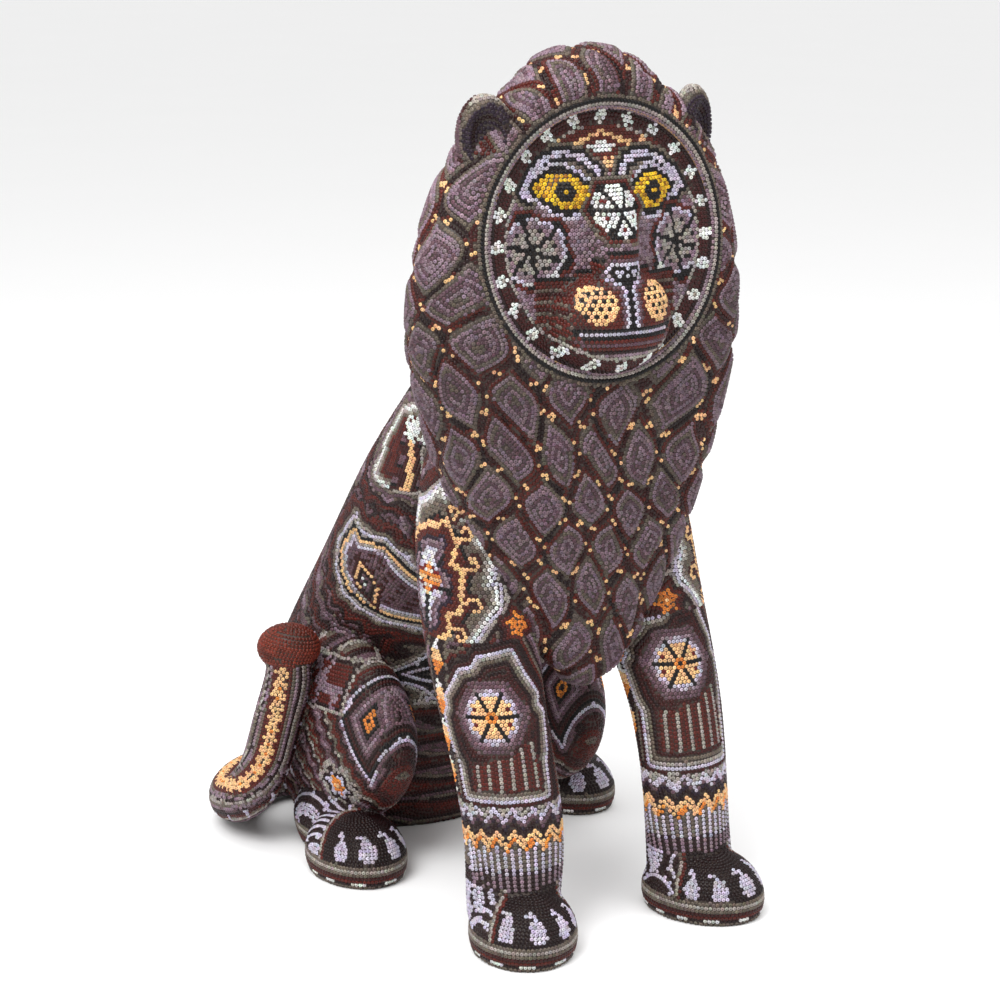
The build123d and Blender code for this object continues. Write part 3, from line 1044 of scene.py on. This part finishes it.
def curve(pts, n=140):
    t = np.linspace(0, len(pts) - 1, n)
    i = np.clip(t.astype(int), 0, len(pts) - 2)
    f = (t - i)[:, None]
    q = np.vstack([2 * pts[0] - pts[1], pts, 2 * pts[-1] - pts[-2]])
    a, b, c, d = q[i], q[i + 1], q[i + 2], q[i + 3]
    return 0.5 * (2 * b + (c - a) * f + (2 * a - 5 * b + 4 * c - d) * f**2 + (3 * b - a - 3 * c + d) * f**3)


TC = curve(TAIL)
TS = np.concatenate([[0], np.cumsum(np.linalg.norm(np.diff(TC, axis=0), axis=1))])
TT = np.gradient(TC, axis=0)
TT /= np.linalg.norm(TT, axis=1, keepdims=True)


def tail_uv(p):
    near = np.empty(len(p), dtype=np.int64)
    for i in range(0, len(p), 4000):
        near[i:i + 4000] = ((p[i:i + 4000, None] - TC[None]) ** 2).sum(2).argmin(1)
    r = p - TC[near]
    t = TT[near]
    r = r - (r * t).sum(1, keepdims=True) * t
    h = np.clip((TC[near][:, 2] - 20) / 40, 0, 1)[:, None]
    e = np.array([-0.55, -0.15, 0.82]) * (1 - h) + np.array([-0.62, -0.78, 0.05]) * h
    e = e - (e * t).sum(1, keepdims=True) * t
    e /= np.linalg.norm(e, axis=1, keepdims=True)
    g = np.cross(t, e)
    ang = np.arctan2((r * g).sum(1), (r * e).sum(1))
    return TS[near] + ((p - TC[near]) * t).sum(1), ang * 13.5, ang


def tail_field(p):
    s, u, ang = tail_uv(p)
    return np.where(np.abs(ang) > 2.8, 1e6, np.abs(u)) + 1.0 + 60 * ROW


def tail_paint(p):
    s, u, ang = tail_uv(p)
    au = np.abs(u)
    col = band(np.floor(au / ROW), "rrrslDgslvDmrsgDvlD", 6)
    q = np.mod(s, 6.3)
    put(col, au < 6.4, "r")
    put(col, (au < 2.2) | ((au < 4.4) & (q < 3.2)), "c")
    put(col, (au < 1.0) & (q > 4.2), "o")
    chev = np.mod(s + au * 0.8, 14.0)
    put(col, (au > 20) & (au < 29) & (chev < 2.2), "L")
    return col


def tuft_paint(p):
    n = len(p)
    col = np.tile(np.array(PAL["t"], float), (n, 1))
    k = np.mod(np.floor(p[:, 2] / 5.5 + np.abs(p[:, 1] - 16) / 7.0), 3)
    col[k == 0] *= 0.88
    return col


# ------------------------------------------------------------------ ears
EAR_C = np.array([60.0, -134.0, 406.0])


def ear_r(p):
    return np.hypot(np.abs(p[:, 0]) - EAR_C[0], (p[:, 2] - EAR_C[2]) * 0.72)


def ear_paint(p):
    r = ear_r(p)
    k = np.floor((15.6 - r) / ROW)
    col = band(k, "gspp")
    put(col, (k > 3) & (np.mod(np.floor(r / ROW), 3) == 0), "D")
    back = p[:, 1] > EAR_C[1] + 2.5
    c = np.where((np.mod(np.floor(r / ROW), 3) == 0)[:, None], PAL["v"], np.where((np.mod(np.floor(r / ROW), 3) == 1)[:, None], PAL["m"], PAL["s"])).astype(float)
    col[back] = c[back]
    return col


# ------------------------------------------------------------------ the surface under the beads
reg = region_of(V)
N0 = normals(V, T)
in_mane = np.isin(reg, MANE)
disp = np.zeros(len(V))
disp[in_mane] = mane_relief(V[in_mane])
soft = average(in_mane.astype(float), E, 4)
disp *= np.where(in_mane, ease((soft - 0.45) * 2.0), 1.0)
in_face = is_in(reg, "face_beads")
disp[in_face] = face_relief(V[in_face])
disp = average(disp, E, 1) * ease(V[:, 2] / 8.0)
W = V + N0 * disp[:, None]
W[V[:, 2] < 0.9, 2] = 0.0
N = normals(W, T)
TE = tri_edges(T)
upper = W[T][:, :, 2].mean(1) > 0.7
form_tree = BVHTree.FromPolygons([Vector(q) for q in W.tolist()], T.tolist())

# ------------------------------------------------------------------ rows of beads
BIG = 60 * ROW


def tuft_field(p):
    return tail_uv(p)[0] + BIG


def ear_field(p):
    return 15.6 - ear_r(p) + BIG


GROUPS = [
    (("crown_beads", "mane_right_beads", "mane_left_beads", "chest_beads"), mane_field),
    (("face_beads",), lambda p: np.where(face_rz(p) > RING_FIELD, ring_field(p), face_field(p)) + BIG),
    (("face_ring_beads",), lambda p: np.where(face_rz(p) > RING_FIELD, ring_field(p), face_field(p)) + BIG),
    (("torso_right_beads", "torso_left_beads"), torso_field),
    (("foreleg_right_beads", "foreleg_left_beads"), leg_field),
    (("haunch_right_beads", "haunch_left_beads"), haunch_field),
    (("tail_beads",), tail_field),
    (("tail_tuft_beads",), tuft_field),
    (("ear_right_beads", "ear_left_beads"), ear_field),
] + [((n,), (lambda p, n=n: paw_field(p, n))) for n in PAWS]

P = []
for names, fn in GROUPS:
    use = is_in(reg, *names)[T].any(1) & upper
    vi = np.unique(T[use])
    F = np.zeros(len(W))
    F[vi] = fn(W[vi])
    g = F[T]
    use &= (g.max(1) - g.min(1)) < 5.5
    p, k = string_beads(rows_of(W, T, TE, F, use, ROW), PITCH)
    print(names[0], len(p))
    P.append(p)
P = np.concatenate(P)


def lattice(cx, cz, half_x, half_z, r):
    """Beads in straight offset rows over one motif of the face."""
    out = []
    nj = int(half_z / ROW)
    ni = int(half_x / PITCH) + 1
    for j in range(-nj, nj + 1):
        for i in range(-ni, ni + 1):
            x, z = cx + (i + 0.5 * (j % 2)) * PITCH, cz + j * ROW
            if abs(x - cx) > half_x or math.hypot((x - cx) / half_x, (z - cz) / half_z) > r:
                continue
            h = form_tree.ray_cast(Vector((x, -260.0, z)), Vector((0, 1, 0)))
            if h[0] is not None:
                out.append(tuple(h[0]))
    return out


def plate(c, ua, n, us, ws, inside, least):
    """The same rows laid over a figure on the body, seen along its own normal."""
    out = []
    c, ua, n = np.array(c, float), np.array(ua, float), Vector(n)
    js = np.arange(math.ceil(ws[0] / ROW), ws[1] / ROW)
    g = [((i + 0.5 * (j % 2)) * PITCH, j * ROW) for j in js for i in np.arange(math.ceil(us[0] / PITCH), us[1] / PITCH)]
    g = np.array(g)
    g = g[inside(g[:, 0], g[:, 1])]
    for u, w in g.tolist():
        o = Vector(c + ua * u + np.array([0, 0, w])) + n * 90.0
        h = form_tree.ray_cast(o, -n)
        if h[0] is not None and h[1].dot(n) > least and h[3] < 150.0:
            out.append(tuple(h[0]))
    return out


L = plate((0, -140, FZ), (1, 0, 0), (0, -1, 0), (-60, 60), (-60, 60), lambda u, w: np.hypot(u, w) < RING_FIELD - 0.5, 0.62)
for s in (-1, 1):
    L += plate((s * 76, -106, 184), (-s * 0.6, -0.8, 0), (s * 0.8, -0.6, 0), (-45, 45), (-55, 50), lambda u, w: sd_poly(u, w, SHOULDER) < 0, 0.74)
    L += plate((s * 60, 0, 0), (0, 1, 0), (s, 0, 0), (-90, 60), (60, 280), lambda u, w: np.minimum(sd_poly(u, w, FLANK), sd_poly(u, w, BIRD)) < 0, 0.72)
    hb = lambda u, w: (np.abs(u + 33) / 0.62 + np.abs(w - 86) / 1.2) * 0.60 < 19.0
    dr = lambda u, w: np.maximum(np.abs(u - 2) - 18, np.abs(w - 100) - 15) < 0
    L += plate((s * 70, 0, 0), (0, 1, 0), (s, 0, 0), (-60, 40), (40, 140), lambda u, w: hb(u, w) | dr(u, w), 0.70)
    # flower of the foreleg, laid round the leg
    for j in range(-9, 10):
        for i in range(-9, 10):
            u, v = (i + 0.5 * (j % 2)) * PITCH, j * ROW
            if math.hypot(u, v) < 17.5:
                z = 125.0 + v + (-5.0 if s < 0 else 6.0)
                t = (u - 9.0) / 29.0
                o = Vector((s * 57.0, -150.0 + 34.0 * z / 150.0, z))
                h = form_tree.ray_cast(o, Vector((math.sin(t), -math.cos(t), 0)))
                if h[0] is not None:
                    L.append(tuple(h[0]))
L = np.array(L)
P = np.concatenate([L, P])
rank = np.where(np.arange(len(P)) < len(L), 0, 1)
alive = thin(P, rank, 0.76 * PITCH)
fixed = int(alive[:len(L)].sum())
P = P[alive]
rows = len(P)
cand = np.concatenate([W[W[:, 2] > 0.9], W[T[upper]].mean(1)])
P = np.concatenate([P, fill(P, cand, 1.62)])
print("beads in rows", rows, "filled", len(P) - rows)
weight = np.where(np.arange(len(P)) < fixed, 0.08, np.where(np.arange(len(P)) < rows, 0.6, 1.0))
P = relax(P, weight, 6, form_tree, 2.02)
P = P[thin(P, np.zeros(len(P)), 1.45)]
P = P[P[:, 2] > 0.75]
hit = [form_tree.find_nearest(q)[2] for q in P.tolist()]
PN = N[T[np.array(hit)]].mean(1)
PN /= np.linalg.norm(PN, axis=1, keepdims=True) + 1e-9
lab = region_of(P)
print("beads", len(P))

# ------------------------------------------------------------------ bead colours
PAINT = {
    "face_beads": face_paint, "face_ring_beads": ring_paint, "torso_right_beads": torso_paint, "torso_left_beads": torso_paint,
    "foreleg_right_beads": leg_paint, "foreleg_left_beads": leg_paint, "haunch_right_beads": haunch_paint,
    "haunch_left_beads": haunch_paint, "tail_beads": tail_paint, "tail_tuft_beads": tuft_paint,
    "ear_right_beads": ear_paint, "ear_left_beads": ear_paint,
}
for n in ("crown_beads", "mane_right_beads", "mane_left_beads", "chest_beads"):
    PAINT[n] = mane_paint
for n in PAWS:
    PAINT[n] = lambda p, n=n: paw_paint(p, n)
COL = np.zeros((len(P), 3))
for n, fn in PAINT.items():
    m = lab == REG[n]
    if m.any():
        COL[m] = fn(P[m])
m = (lab == REG["face_ring_beads"]) & (face_rz(P) < RING_FIELD)
COL[m] = face_paint(P[m])
COL *= 0.95 * (1 + 0.055 * rng.standard_normal((len(P), 1)) + 0.02 * rng.standard_normal((len(P), 3)))
COL = np.clip(COL / 255.0, 0.02, 1.0)
LIN = 0.95 * np.where(COL < 0.04045, COL / 12.92, ((COL + 0.055) / 1.055) ** 2.4)
deep = np.clip(1 - LIN.mean(1, keepdims=True) / 0.45, 0, 1)
LIN = (deep * LIN ** 1.2 + (1 - deep) * LIN) * (1 - deep * np.array([0.08, 0.24, 0.19]))

# ------------------------------------------------------------------ materials
def new_material(name):
    m = bpy.data.materials.new(name)
    m.use_nodes = True
    t = m.node_tree
    b = t.nodes["Principled BSDF"]
    return m, t, b


def noise(t, coord, scale, detail=3.0, rough=0.55):
    n = t.nodes.new("ShaderNodeTexNoise")
    n.inputs["Scale"].default_value = scale
    n.inputs["Detail"].default_value = detail
    n.inputs["Roughness"].default_value = rough
    t.links.new(coord, n.inputs["Vector"])
    return n.outputs["Fac"]


def ranged(t, value, a, b, lo, hi):
    n = t.nodes.new("ShaderNodeMapRange")
    for k, v in zip(("From Min", "From Max", "To Min", "To Max"), (a, b, lo, hi)):
        n.inputs[k].default_value = v
    t.links.new(value, n.inputs["Value"])
    return n.outputs["Result"]


def times(t, colour, value):
    n = t.nodes.new("ShaderNodeMix")
    n.data_type, n.blend_type = "RGBA", "MULTIPLY"
    n.inputs["Factor"].default_value = 1.0
    t.links.new(colour, n.inputs["A"])
    c = t.nodes.new("ShaderNodeCombineColor")
    for k in ("Red", "Green", "Blue"):
        t.links.new(value, c.inputs[k])
    t.links.new(c.outputs["Color"], n.inputs["B"])
    return n.outputs["Result"]


def bump(t, b, height, dist, strength=1.0):
    n = t.nodes.new("ShaderNodeBump")
    n.inputs["Distance"].default_value = dist
    n.inputs["Strength"].default_value = strength
    t.links.new(height, n.inputs["Height"])
    t.links.new(n.outputs["Normal"], b.inputs["Normal"])


def glass_beads(name, rough, coat):
    m, t, b = new_material(name)
    at = t.nodes.new("ShaderNodeAttribute")
    at.attribute_name = "bead"
    rd = t.nodes.new("ShaderNodeAttribute")
    rd.attribute_name = "rad"
    co = t.nodes.new("ShaderNodeTexCoord").outputs["Object"]
    fine = noise(t, co, 900.0)
    wide = noise(t, co, 26.0)
    # the bead's centre, where rad is low, is darkened to 0.16 of its colour: the dark wax seen in the hole together
    # with painted shade in the hole, which the shallow dimple cannot cast
    c = times(t, at.outputs["Color"], ranged(t, rd.outputs["Fac"], 0.12, 0.5, 0.16, 1.0))
    c = times(t, c, ranged(t, wide, 0.3, 0.7, 0.86, 1.12))
    c = times(t, c, ranged(t, fine, 0.3, 0.7, 0.93, 1.07))
    t.links.new(c, b.inputs["Base Color"])
    t.links.new(ranged(t, fine, 0.3, 0.7, rough - 0.06, rough + 0.1), b.inputs["Roughness"])
    b.inputs["Coat Weight"].default_value = 0.35 * coat
    b.inputs["Specular IOR Level"].default_value = 0.2
    b.inputs["Coat Roughness"].default_value = 0.12
    b.inputs["IOR"].default_value = 1.5
    bump(t, b, noise(t, co, 1600.0, 2.0), 0.00006, 0.6)
    return m


def waxy():
    m, t, b = new_material("dark beeswax")
    co = t.nodes.new("ShaderNodeTexCoord").outputs["Object"]
    n = noise(t, co, 60.0, 4.0)
    r = t.nodes.new("ShaderNodeValToRGB")
    r.color_ramp.elements[0].color = (0.012, 0.007, 0.005, 1)
    r.color_ramp.elements[1].color = (0.040, 0.022, 0.013, 1)
    t.links.new(n, r.inputs["Fac"])
    t.links.new(r.outputs["Color"], b.inputs["Base Color"])
    t.links.new(ranged(t, noise(t, co, 220.0), 0.3, 0.7, 0.45, 0.7), b.inputs["Roughness"])
    bump(t, b, noise(t, co, 300.0), 0.0003, 0.7)
    return m


def wooden(name, dark, pale, axis):
    m, t, b = new_material(name)
    co = t.nodes.new("ShaderNodeTexCoord").outputs["Object"]
    mp = t.nodes.new("ShaderNodeMapping")
    mp.inputs["Scale"].default_value = axis
    t.links.new(co, mp.inputs["Vector"])
    w = t.nodes.new("ShaderNodeTexWave")
    w.wave_type = "RINGS"
    w.inputs["Scale"].default_value = 18.0
    w.inputs["Distortion"].default_value = 6.0
    w.inputs["Detail"].default_value = 3.0
    t.links.new(mp.outputs["Vector"], w.inputs["Vector"])
    r = t.nodes.new("ShaderNodeValToRGB")
    r.color_ramp.elements[0].color = (*dark, 1)
    r.color_ramp.elements[1].color = (*pale, 1)
    t.links.new(w.outputs["Fac"], r.inputs["Fac"])
    c = times(t, r.outputs["Color"], ranged(t, noise(t, co, 40.0), 0.3, 0.7, 0.85, 1.1))
    t.links.new(c, b.inputs["Base Color"])
    t.links.new(ranged(t, w.outputs["Fac"], 0, 1, 0.5, 0.7), b.inputs["Roughness"])
    bump(t, b, w.outputs["Fac"], 0.0004, 0.5)
    return m


MAT = {
    "body_beads": glass_beads("body glass beads", 0.30, 0.35),
    "mane_beads": glass_beads("mane glass beads", 0.32, 0.30),
    "face_beads": glass_beads("face glass beads", 0.28, 0.40),
    "ear_beads": glass_beads("ear glass beads", 0.30, 0.30),
    "rust_beads": glass_beads("rust glass beads", 0.34, 0.30),
}
WAX = waxy()
CARVED = wooden("carved cedar", (0.21, 0.10, 0.045), (0.46, 0.27, 0.13), (1.0, 1.0, 0.12))
DOWEL = wooden("dowel beech", (0.38, 0.23, 0.11), (0.62, 0.43, 0.25), (0.2, 1.0, 1.0))
slot_of = {s["node"]: s["material_slot"] for s in frame["record"]["subparts"]}
for n, ob in frame["nodes"].items():
    ob.data.materials.clear()
    s = slot_of[n]
    ob.data.materials.append(CARVED if s == "carved_wood" else DOWEL if s == "dowel_wood" else WAX if s == "beeswax" else MAT[s])

# ------------------------------------------------------------------ bead meshes
SIDES = 8
a = np.arange(SIDES) * 2 * np.pi / SIDES
ring0 = np.stack([1.08 * np.cos(a), 1.08 * np.sin(a), np.full(SIDES, -0.30)], 1)
ring1 = np.stack([0.70 * np.cos(a), 0.70 * np.sin(a), np.full(SIDES, 0.50)], 1)
BV = np.concatenate([ring0, ring1, [[0, 0, 0.16]]])
i = np.arange(SIDES)
j = (i + 1) % SIDES
BF = np.concatenate([np.stack([i, j, j + SIDES], 1), np.stack([i, j + SIDES, i + SIDES], 1), np.stack([i + SIDES, j + SIDES, np.full(SIDES, 2 * SIDES)], 1)])
# rad per vertex: 1 on the outer ring, 0.66 on the top ring, 0 at the centre dimple; the material darkens the centre by
# it, for the wax in the hole and painted shade in the hole
BR = np.concatenate([np.ones(SIDES), np.full(SIDES, 0.66), [0.0]])

n_all = len(P)
tilt = PN + 0.09 * rng.standard_normal((n_all, 3))
tilt /= np.linalg.norm(tilt, axis=1, keepdims=True)
ref = np.where(np.abs(tilt[:, 2:3]) < 0.9, np.array([[0.0, 0, 1]]), np.array([[1.0, 0, 0]]))
ux = np.cross(ref, tilt)
ux /= np.linalg.norm(ux, axis=1, keepdims=True)
uy = np.cross(tilt, ux)
spin = rng.random(n_all) * 2 * np.pi
cs, sn = np.cos(spin)[:, None], np.sin(spin)[:, None]
ux, uy = ux * cs + uy * sn, uy * cs - ux * sn
size = 1 + 0.045 * rng.standard_normal(n_all)


def coat(name, nodes, idx, slot_name):
    k = len(idx)
    s = size[idx][:, None, None]
    v = (P[idx][:, None] + s * (BV[None, :, 0:1] * ux[idx][:, None] + BV[None, :, 1:2] * uy[idx][:, None] + BV[None, :, 2:3] * tilt[idx][:, None]))
    v = v.reshape(-1, 3)
    v[:, 2] = np.maximum(v[:, 2], 0.0)
    f = (BF[None] + (np.arange(k) * len(BV))[:, None, None]).reshape(-1, 3)
    me = make_mesh(name, (v + SHIFT) / 1000.0, f)
    me.polygons.foreach_set("use_smooth", np.ones(len(f), dtype=bool))
    c = np.ones((k, len(BV), 4), dtype=np.float32)
    c[:, :, :3] = LIN[idx][:, None]
    at = me.attributes.new("bead", "FLOAT_COLOR", "POINT")
    at.data.foreach_set("color", c.ravel())
    at = me.attributes.new("rad", "FLOAT", "POINT")
    at.data.foreach_set("value", np.tile(BR, k).astype(np.float32))
    me.materials.append(MAT[slot_name])
    ob = bpy.data.objects.new(name, me)
    bpy.context.scene.collection.objects.link(ob)
    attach(ob, "root")
    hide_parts(*nodes)
    return ob


for n in BEAD_NODES:
    idx = np.nonzero(lab == REG[n])[0]
    if not len(idx):
        continue
    idx = idx[np.argsort(P[idx, 2], kind="stable")]
    parts = max(1, int(math.ceil(len(idx) / 8200)))
    for q, sub in enumerate(np.array_split(idx, parts)):
        coat(n[:-6] + "_bead_coat" + ("" if parts == 1 else "_%d" % (q + 1)), [n], sub, slot_of[n])

# ------------------------------------------------------------------ wax under the beads
STEM = {}
for n in BEAD_NODES:
    s = n[:-6]
    if s in ("crown", "chest", "mane_right", "mane_left"):
        s = "mane"
    elif s == "face_ring":
        s = "face"
    elif s.startswith("torso"):
        s = "torso"
    elif s.startswith("front_paw"):
        s = s.replace("front_paw", "foreleg")
    elif s == "tail_tuft":
        s = "tail"
    STEM[REG[n]] = s
stems = sorted(set(STEM.values()))
code = np.array([stems.index(STEM[k]) for k in range(len(BEAD_NODES))])
face_code = code[reg[T[:, 0]]]
WX = W - N * 0.35
WX[V[:, 2] < 0.9, 2] = 0.0
for k, s in enumerate(stems):
    f = T[face_code == k]
    if not len(f):
        continue
    vi, inv = np.unique(f, return_inverse=True)
    me = make_mesh(s + "_wax_skin", (WX[vi] + SHIFT) / 1000.0, inv.reshape(-1, 3))
    me.polygons.foreach_set("use_smooth", np.ones(len(f), dtype=bool))
    me.materials.append(WAX)
    ob = bpy.data.objects.new(s + "_wax_skin", me)
    bpy.context.scene.collection.objects.link(ob)
    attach(ob, "root")
    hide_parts(s + "_wax")

# ------------------------------------------------------------------ studio
def pale(name, colour):
    m, t, b = new_material(name)
    co = t.nodes.new("ShaderNodeTexCoord").outputs["Object"]
    r = t.nodes.new("ShaderNodeRGB")
    r.outputs[0].default_value = (*colour, 1)
    t.links.new(times(t, r.outputs[0], ranged(t, noise(t, co, 3.0), 0.3, 0.7, 0.997, 1.003)), b.inputs["Base Color"])
    b.inputs["Roughness"].default_value = 0.75
    return m


me = bpy.data.meshes.new("studio_floor")
me.from_pydata([(-60, -60, -0.0002), (60, -60, -0.0002), (60, 60, -0.0002), (-60, 60, -0.0002)], [], [(0, 1, 2, 3)])
me.materials.append(pale("pale floor", (0.93, 0.93, 0.93)))
floor = bpy.data.objects.new("studio_floor", me)
bpy.context.scene.collection.objects.link(floor)

target = Vector((-0.006891, -0.045655, 0.2095))


def lamp(name, az, el, dist, size_m, power, colour=(1, 1, 1)):
    az, el = math.radians(az), math.radians(el)
    d = Vector((math.sin(az) * math.cos(el), -math.cos(az) * math.cos(el), math.sin(el)))
    li = bpy.data.lights.new(name, "AREA")
    li.size, li.energy, li.color = size_m, power, colour
    ob = bpy.data.objects.new(name, li)
    ob.location = target + d * dist
    ob.rotation_euler = (-d).to_track_quat("-Z", "Y").to_euler()
    bpy.context.scene.collection.objects.link(ob)


lamp("key_light", -65, 48, 1.7, 0.9, 23)
lamp("fill_light", 25, 25, 1.9, 1.4, 3.5)
lamp("top_light", -10, 78, 1.7, 1.3, 15)
world = bpy.data.worlds.new("studio")
bpy.context.scene.world = world
world.use_nodes = True
world.node_tree.nodes["Background"].inputs["Color"].default_value = (1, 1, 1, 1)
world.node_tree.nodes["Background"].inputs["Strength"].default_value = 0.92

az, el = math.radians(-30.3), math.radians(13.3)
d = Vector((math.sin(az) * math.cos(el), -math.cos(az) * math.cos(el), math.sin(el)))
cam = bpy.data.cameras.new("photo_camera")
cam.lens, cam.sensor_width, cam.clip_end = 95.83, 36.0, 60.0
cam.dof.use_dof = False
co = bpy.data.objects.new("photo_camera", cam)
co.location = target + d * 1.396
right = Vector((math.cos(az), math.sin(az), 0))
up = d.cross(right)
co.matrix_world = Matrix(((right.x, up.x, d.x, co.location.x), (right.y, up.y, d.y, co.location.y), (right.z, up.z, d.z, co.location.z), (0, 0, 0, 1)))
bpy.context.scene.collection.objects.link(co)
bpy.context.scene.camera = co

bpy.context.scene.view_settings.view_transform = "Standard"
import json
